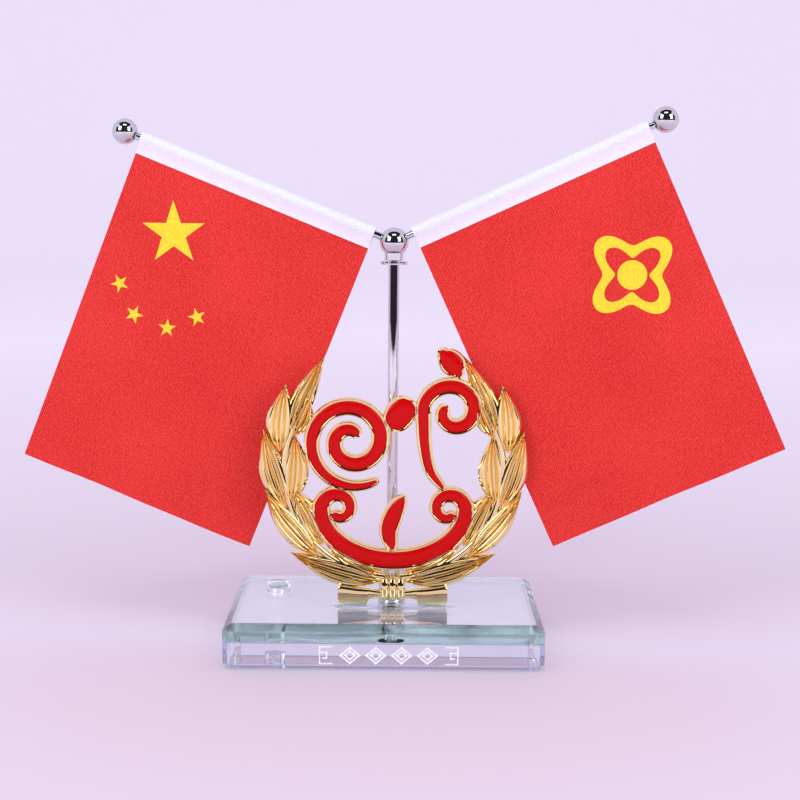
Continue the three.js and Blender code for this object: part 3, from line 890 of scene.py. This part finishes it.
LEAVES = [
    [(-3.4, -36.2), (-33.4, -26.7), LEAF_WIDTH, 1.5],
    [(-3.4, -34), (-22.4, -23.2), LEAF_WIDTH * 0.8, 0.8],
    [(-23.8, -28), (-41.3, -6.3), LEAF_WIDTH, 1.2],
    [(-22.6, -24.5), (-32.6, -5.4), LEAF_WIDTH, -0.8],
    [(-34.4, -12), (-41.6, 13.5), LEAF_WIDTH, 1],
    [(-32.6, -11), (-31.5, 12.1), LEAF_WIDTH, -0.8],
    [(-36.4, 6), (-34.2, 28.2), LEAF_WIDTH, 1],
    [(-33.2, 11.5), (-21.8, 37.2), LEAF_WIDTH * 0.85, 0.8],
    [(-31.6, 11), (-26.6, 23.8), LEAF_WIDTH * 0.7, -0.6],
]
LEAF_BACK = 0.1
LEAF_BACK_STEP = 0.06  # every leaf's back lies a little in front of the one before
RIDGES = 4
RIDGE_HEIGHT = 1.15
LEAF_HALF = 0.60  # half the widest part, as a share of the leaf's width
LEAF_SHOULDER = 0.80  # under 1 moves the widest part towards the base
LEAF_TAPER = 1.05
LEAF_LEVEL = 1.15
LEAF_CROWN = 1.15
STEM_FROM = 157  # degrees round the wreath
STEM_TO = 266


def leaf_shell(base, tip, width, bow, lift, back, mirror):
    base = Vector(base)
    along = Vector(tip) - base
    across = Vector((-along.y, along.x)).normalized()
    rows = []
    lengths = 30
    widths = 28
    for step in range(lengths + 1):
        t = 0.004 + 0.992 * step / lengths
        half = LEAF_HALF * width * math.sin(math.pi * t ** LEAF_SHOULDER) ** LEAF_TAPER
        swing = bow * math.sin(math.pi * t)
        row = []
        ends = smoothstep(t / 0.12) * smoothstep((1 - t) / 0.14)
        for k in range(widths + 1):
            s = -1 + 2 * k / widths
            place = base + along * t + across * (swing + half * s)
            crown = LEAF_CROWN * max(0.0, 1 - s * s) ** 0.6 * (0.35 + 0.65 * ends)
            furrow = abs(math.sin(0.5 * math.pi * RIDGES * (s + 0.08 * math.sin(math.pi * s))))
            ridge = RIDGE_HEIGHT * (furrow ** 0.8 - 0.6) * ends * (1 - s ** 4)
            height = LEAF_LEVEL + lift + crown + ridge
            row.append((place.x, place.y, height))
        for k in (widths, 0):
            s = -1 + 2 * k / widths
            place = base + along * t + across * (swing + half * s)
            row.append((place.x, place.y, back))
        sign = -1 if mirror else 1
        rows.append([on_emblem(sign * x, y, h) for x, y, h in row])
    return grid_shell("leaf", rows)


def stem_shell(mirror):
    rows = []
    steps = 60
    for step in range(steps + 1):
        angle = math.radians(STEM_FROM + (STEM_TO - STEM_FROM) * step / steps)
        sign = -1 if mirror else 1
        row = []
        for k in range(12):
            turn = 2 * math.pi * k / 12
            radius = STEM_RADIUS + 1.2 * math.cos(turn)
            height = 1.2 + 1.0 * math.sin(turn)
            row.append(on_emblem(sign * radius * math.cos(angle), radius * math.sin(angle), height))
        rows.append(row)
    return grid_shell("stem", rows)


def soft_corner(k, sides, power):
    """Cosine and sine round a section; a power under 1 squares the section's corners."""
    turn = 2 * math.pi * k / sides
    return [math.copysign(abs(part) ** power, part) for part in (math.cos(turn), math.sin(turn))]


def rounded_bar(name, place_at, half_wide, half_deep, steps, sides=20, power=0.7):
    """A bar with soft corners, swept along place_at(t) -> (across, up, height, scale)."""
    rows = []
    for step in range(steps + 1):
        t = step / steps
        across, up, height, scale = place_at(t)
        row = []
        for k in range(sides):
            c, s = soft_corner(k, sides, power)
            row.append(on_emblem(
                across + half_wide * scale * c, up, height + half_deep * scale * s))
        rows.append(row)
    return grid_shell(name, rows)


TIE_BOTTOM = -42.8
TIE_TOP = -34.6
TIE_PITCH = 2.6


def tie_shells():
    shells = []
    for index in (-1, 0, 1):
        def place(t, index=index):
            up = TIE_BOTTOM + (TIE_TOP - TIE_BOTTOM) * t
            bulge = math.sin(math.pi * min(1, max(0, t))) ** 0.35
            return index * TIE_PITCH, up, 1.5 + 0.7 * bulge, 0.25 + 0.75 * bulge
        shells.append(rounded_bar("tie", place, TIE_PITCH * 0.56, 1.5, 24, power=0.85))
    return shells


FOOT_SIDES = 20
FOOT_OUTLINE = [  # (across, underside, top)
    (0.0, -41.6, -39.9), (2.5, -41.7, -39.6), (5.0, -41.9, -39.1), (7.6, -42.2, -38.7),
    (8.4, -43.7, -38.6), (12.0, -43.8, -38.3), (15.0, -43.8, -37.8), (16.6, -43.8, -37.5),
    (17.4, -43.6, -37.7), (17.7, -43.1, -38.3),
]


def foot_shells():
    shells = []
    for sign in (-1, 1):
        rows = []
        for across, low, high in FOOT_OUTLINE:
            row = []
            for k in range(FOOT_SIDES):
                c, s = soft_corner(k, FOOT_SIDES, 0.5)
                up = (low + high) / 2 + (high - low) / 2 * c
                row.append(on_emblem(sign * across, up, 1.25 + 1.2 * s))
            rows.append(row)
        shells.append(grid_shell("foot", rows))
    return shells


def point(x, y):
    return Vector((x, y))


def spiral(centre, inner, outer, from_degrees, to_degrees, steps):
    points = []
    for step in range(steps + 1):
        share = step / steps
        angle = math.radians(from_degrees + (to_degrees - from_degrees) * share)
        radius = inner + (outer - inner) * share
        points.append(centre + radius * Vector((math.cos(angle), math.sin(angle))))
    return points


def sag(centre, reach, depth, steps):
    points = []
    for index in range(1, steps):
        angle = math.pi * (1 + index / steps)
        points.append(centre + Vector((reach * math.cos(angle), depth * math.sin(angle))))
    return points


def smooth(controls, steps):
    """Points on a curve that passes through the controls."""
    points = []
    last = len(controls) - 1
    for step in range(steps + 1):
        where = last * step / steps
        k = min(int(where), last - 1)
        t = where - k
        p1, p2 = controls[k], controls[k + 1]
        p0 = controls[k - 1] if k > 0 else 2 * p1 - p2
        p3 = controls[k + 2] if k + 2 <= last else 2 * p2 - p1
        points.append(0.5 * (2 * p1 + (p2 - p0) * t + (2 * p0 - 5 * p1 + 4 * p2 - p3) * t ** 2
                             + (3 * p1 - p0 - 3 * p2 + p3) * t ** 3))
    return points


def taper(width, start_share, end_share):
    def half_width(t):
        end = start_share if t < 0.5 else end_share
        return 0.5 * width * (end + (1 - end) * math.sin(math.pi * t) ** 0.6)
    return half_width


SCROLL_WIDTH = 5.6
RIBBON_WIDTH = 6.6
VOLUTE = (17.6, -12.4)
VOLUTE_RADIUS = 5.6
VOLUTE_EYE = 2.6
RIM_WIDTH = 0.75

SCROLLS = {
    "left_scroll": (
        spiral(point(-13.4, 9.6), 3.2, 15.2, -290, 300, 132), taper(SCROLL_WIDTH, 0.75, 0.46)),
    "right_scroll": (
        spiral(point(18.8, 19.3), 3, 9.6, -190, 170, 84)
        + smooth([point(9.3, 17), point(9.9, 8), point(11.8, 0), point(15.6, -5.2)], 30),
        taper(SCROLL_WIDTH * 0.95, 0.75, 0.46)),
    "bud": (
        smooth([point(20.2, 31.8), point(18.4, 34.6), point(15.4, 37.8)], 24), taper(8, 0.5, 0.5)),
    "pearl": (
        smooth([point(1.2, 17.2), point(2, 18.4), point(3, 19.6)], 12), taper(9.6, 0.96, 0.96)),
    "flame": (
        smooth([point(-0.4, -24.8), point(-1.4, -19.4), point(0.4, -13.6), point(3, -9)], 36),
        taper(6.4, 0.5, 0.42)),
    "ribbon": (
        spiral(point(-VOLUTE[0], VOLUTE[1]), VOLUTE_EYE, VOLUTE_RADIUS, -110, 180, 48)
        + sag(point(0, VOLUTE[1]), VOLUTE[0] + VOLUTE_RADIUS, 16.6, 60)
        + spiral(point(*VOLUTE), VOLUTE_RADIUS, VOLUTE_EYE, 0, 290, 48),
        lambda t: RIBBON_WIDTH * (0.3 + 0.2 * math.sin(math.pi * t) ** 2)),
}


def capped_stroke(path, half_width):
    """Sections along a stroke with round ends: (place, across, half, distance past the end)."""
    last = len(path) - 1
    sections = []
    for index, place in enumerate(path):
        ahead = path[min(index + 1, last)]
        behind = path[max(index - 1, 0)]
        along = (ahead - behind).normalized()
        across = Vector((-along.y, along.x))
        sections.append((place, across, half_width(index / last), 0.0))
    cap_steps = 8

    def cap(section, direction):
        place, across, half, _ = section
        cap_sections = []
        for step in range(1, cap_steps + 1):
            past = half * math.sin(0.5 * math.pi * step / cap_steps)
            cap_sections.append((place + direction * past, across, half, past))
        return cap_sections

    start_direction = (path[0] - path[1]).normalized()
    end_direction = (path[-1] - path[-2]).normalized()
    start = list(reversed(cap(sections[0], start_direction)))
    return start + sections + cap(sections[-1], end_direction)


def chord(half, past):
    return math.sqrt(max(half * half - past * past, 1e-5))


RIM_TOP = 2.5
RIM_ROUND = 0.18
POCKET_FLOOR = 1.6
WALL_DRAFT = 0.22


def beside(place, across, distance, height):
    """A point on the emblem, some way to the side of a place on a stroke."""
    return on_emblem(place.x + across.x * distance, place.y + across.y * distance, height)


def stroke_metal(path, half_width):
    """A raised rim round a sunk pocket, along the stroke."""
    rows = []
    for place, across, half, past in capped_stroke(path, half_width):
        outer = chord(half, past)
        inner = chord(half - RIM_WIDTH, past) if past < half - RIM_WIDTH else 0.004
        foot = chord(half + WALL_DRAFT, past * (half + WALL_DRAFT) / half)
        floor = POCKET_FLOOR if past < half - RIM_WIDTH else RIM_TOP
        half_profile = [
            (foot, 0.1), (outer, RIM_TOP - RIM_ROUND),
            (outer - min(RIM_ROUND, outer * 0.5), RIM_TOP),
            (min(inner + RIM_ROUND, outer * 0.9), RIM_TOP), (inner, RIM_TOP - RIM_ROUND * 0.6),
            (inner, floor),
        ]
        profile = [(-side, height) for side, height in half_profile] + half_profile[::-1]
        rows.append([beside(place, across, side, height) for side, height in profile])
    return grid_shell("stroke", rows)


ENAMEL_EDGE = 2.12
ENAMEL_DOME = 0.62


def stroke_enamel(name, path, half_width):
    """A domed fill that reaches a hair into the rim all round."""
    rows = []
    widths = 12

    def fill_width(t):
        return half_width(t) - RIM_WIDTH + 0.02

    for place, across, half, past in capped_stroke(path, fill_width):
        outer = chord(half, past)
        row = []
        for k in range(widths + 1):
            s = -1 + 2 * k / widths
            round_off = math.sqrt(max(0.0, 1 - (past / half) ** 2 - (s * outer / half) ** 2))
            height = ENAMEL_EDGE + ENAMEL_DOME * round_off ** 0.8
            row.append(beside(place, across, s * outer, height))
        for side in (outer, -outer):
            row.append(beside(place, across, side, POCKET_FLOOR + 0.1))
        rows.append(row)
    obj = grid_shell(f"enamel_fill_{name}", rows)
    sharpen(obj, 50)
    return give(dress(obj, ENAMEL), "stand", "red_enamel", f"enamel_{name}")


def build_emblem():
    shells = []
    for mirror in (False, True):
        shells.append(stem_shell(mirror))
        for index, (base, tip, width, bow) in enumerate(LEAVES):
            lift = 0.0 if index % 2 else 0.28
            back = LEAF_BACK + LEAF_BACK_STEP * index
            shells.append(leaf_shell(base, tip, width, bow, lift, back, mirror))
    shells += tie_shells()
    shells += foot_shells()
    for path, half_width in SCROLLS.values():
        shells.append(stroke_metal(path, half_width))
    casting = join("wreath_casting", shells)
    casting.data.shade_smooth()
    sharpen(casting, 40)
    give(dress(casting, GOLD), "stand", "gilt", "emblem_casting")
    for name, (path, half_width) in SCROLLS.items():
        stroke_enamel(name, path, half_width)


GLUE_SPREAD = 1.02  # how far past the CAD piece the puddle runs
GLUE_RISE = 0.1 * MM  # how far above the CAD piece it stands


def build_glue():
    low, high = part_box("emblem_glue")
    centre_x = (low[0] + high[0]) / 2
    centre_y = (low[1] + high[1]) / 2
    reach = (high[0] - low[0]) / 2
    half = (high[1] - low[1]) / 2
    rings = 10
    sides = 120
    vertices = [Vector((centre_x, centre_y, high[2] + GLUE_RISE))]
    for ring in range(1, rings + 1):
        share = ring / rings
        for k in range(sides):
            turn = 2 * math.pi * k / sides
            wobble = 1 + 0.05 * math.sin(5 * turn + 1) + 0.04 * math.sin(9 * turn)
            fall = math.sqrt(max(0.0, 1 - share ** 2.4))
            height = low[2] + BOND_GAP + (high[2] + GLUE_RISE - low[2]) * fall
            vertices.append(Vector((
                centre_x + reach * GLUE_SPREAD * share * wobble * math.cos(turn),
                centre_y + half * GLUE_SPREAD * share * wobble * math.sin(turn), height)))
    faces = []
    for k in range(sides):
        faces.append((0, 1 + k, 1 + (k + 1) % sides))
    for ring in range(rings - 1):
        for k in range(sides):
            n = (k + 1) % sides
            a = 1 + ring * sides
            faces.append((a + k, a + sides + k, a + sides + n, a + n))
    outer = 1 + (rings - 1) * sides
    faces.append(tuple(outer + k for k in reversed(range(sides))))
    glue = new_object("glue_puddle", vertices, faces)
    face_outwards(glue)
    sharpen(glue, 50)
    give(dress(glue, GLUE), "stand", "clear_glue", "emblem_glue")


build_base()
frosted_band()
build_plug()
build_pole()
build_head()
for side in ("left", "right"):
    build_rod(side)
build_flags()
build_emblem()
build_glue()
for name in ("screw_washer", "base_screw"):
    dress(frame["nodes"][name], STEEL)


# ---- Stage, light and camera ----

SWEEP_HALF_WIDTH = 6.0  # the floor runs as far forwards as sideways
SWEEP_BEND_START = 2.0
SWEEP_BEND = 1.5
SWEEP_TOP = 6.0


def build_stage():
    """A pale sweep: a floor that curves up into a wall far behind the object."""
    floor = -0.05 * MM
    profile = [(-SWEEP_HALF_WIDTH, floor), (SWEEP_BEND_START, floor)]
    for step in range(1, 17):
        angle = 0.5 * math.pi * step / 16
        profile.append((
            SWEEP_BEND_START + SWEEP_BEND * math.sin(angle),
            SWEEP_BEND - SWEEP_BEND * math.cos(angle)))
    profile.append((SWEEP_BEND_START + SWEEP_BEND, SWEEP_TOP))
    vertices = []
    for y, z in profile:
        vertices.append((-SWEEP_HALF_WIDTH, y, z))
        vertices.append((SWEEP_HALF_WIDTH, y, z))
    faces = [(2 * k, 2 * k + 1, 2 * k + 3, 2 * k + 2) for k in range(len(profile) - 1)]
    sweep = new_object("studio_sweep", vertices, faces)
    # The paper carries painted shade: it is darker near the object.
    dress(sweep, painted_shade_paper_material())


def painted_shade_paper_material():
    """Pale lavender paper with painted shade: darker near the object than in the distance, standing
    in for the light falling off.
    """
    material, tree, shader = new_material("studio_paper_painted_shade", Roughness=0.9)
    place = add_node(tree, "ShaderNodeTexCoord")
    length = add_node(tree, "ShaderNodeVectorMath")
    length.operation = "LENGTH"
    tree.links.new(place.outputs["Object"], length.inputs[0])
    add_ramp(
        tree, length.outputs["Value"], shader.inputs["Base Color"],
        (0.1, (0.72, 0.65, 0.74, 1)), (1.0, (0.93, 0.90, 0.97, 1)))
    return material


def area_light(name, place, target, size, size_y, energy):
    data = bpy.data.lights.new(name, "AREA")
    data.shape = "RECTANGLE"
    data.size = size
    data.size_y = size_y
    data.energy = energy
    light = placed(name, data)
    light.location = place
    direction = Vector(target) - Vector(place)
    light.rotation_euler = direction.to_track_quat("-Z", "Y").to_euler()


def dark_card(name, corners):
    """A dark studio screen that shows only in reflections."""
    card = new_object(name, corners, [(0, 1, 2, 3)])
    black, _, _ = new_material("studio_black", Base_Color=(0.012, 0.012, 0.014, 1), Roughness=0.9)
    dress(card, black)
    card.visible_camera = False
    card.visible_diffuse = False
    card.visible_transmission = False
    card.visible_shadow = False


SCREEN_X = 3.4
SCREEN_FRONT = -1.7
SCREEN_SIDE = -0.7  # where the side screens end
SCREEN_HEIGHT = 2.4


def upright_screen(start, end):
    return [(*start, 0.0), (*end, 0.0), (*end, SCREEN_HEIGHT), (*start, SCREEN_HEIGHT)]


DARK_SCREENS = {
    "screen_front": upright_screen((-SCREEN_X, SCREEN_FRONT), (SCREEN_X, SCREEN_FRONT)),
    "screen_left": upright_screen((-SCREEN_X, SCREEN_FRONT), (-SCREEN_X, SCREEN_SIDE)),
    "screen_right": upright_screen((SCREEN_X, SCREEN_FRONT), (SCREEN_X, SCREEN_SIDE)),
    "screen_top": [(-1.5, -1.7, 2.0), (1.5, -1.7, 2.0), (1.5, 0.1, 2.0), (-1.5, 0.1, 2.0)],
}


def build_lights():
    world = bpy.data.worlds.new("studio")
    bpy.context.scene.world = world
    world.use_nodes = True
    tree = world.node_tree
    background = tree.nodes["Background"]
    background.inputs["Strength"].default_value = 0.95
    place = add_node(tree, "ShaderNodeTexCoord")
    split = add_node(tree, "ShaderNodeSeparateXYZ")
    tree.links.new(place.outputs["Generated"], split.inputs[0])
    add_ramp(
        tree, split.outputs["Z"], background.inputs["Color"],
        (0.0, (0.89, 0.82, 1.0, 1)), (1.0, (0.93, 0.86, 1.0, 1)))
    centre = (0, 0, 0.08)
    area_light("key_left", (-0.94, -1.0, 0.78), centre, 0.55, 0.8, 6)
    area_light("key_right", (0.96, -1.0, 0.70), centre, 0.55, 0.85, 5.4)
    area_light("top_light", (0, -0.75, 1.5), centre, 0.7, 0.35, 1.6)
    for name, corners in DARK_SCREENS.items():
        dark_card(name, corners)


SENSOR_WIDTH = 36  # the sensor and the lens are in millimetres
LENS = 67.05
CAMERA_PLACE = (1.7 * MM, -474.7 * MM, 148.7 * MM)
CAMERA_PITCH = 8.21
CAMERA_ROLL = 0.48
CAMERA_YAW = -0.07


def build_camera():
    data = bpy.data.cameras.new("camera")
    data.sensor_width = SENSOR_WIDTH
    data.lens = LENS
    data.clip_start = 0.01
    data.clip_end = 50
    camera = placed("camera", data)
    turn = Matrix.Rotation(math.radians(CAMERA_YAW), 4, "Z")
    turn @= Matrix.Rotation(math.radians(90 - CAMERA_PITCH), 4, "X")
    turn @= Matrix.Rotation(math.radians(CAMERA_ROLL), 4, "Z")
    offset = Vector((POLE[0], POLE[1], 0))
    camera.matrix_world = Matrix.Translation(Vector(CAMERA_PLACE) + offset) @ turn
    bpy.context.scene.camera = camera


build_stage()
build_lights()
build_camera()
bpy.context.scene.view_settings.view_transform = "Standard"
# Light is turned back inside the glass many times before it leaves again.
paths = bpy.context.scene.cycles
paths.max_bounces = 24
paths.glossy_bounces = 20
paths.transmission_bounces = 24
paths.transparent_max_bounces = 24
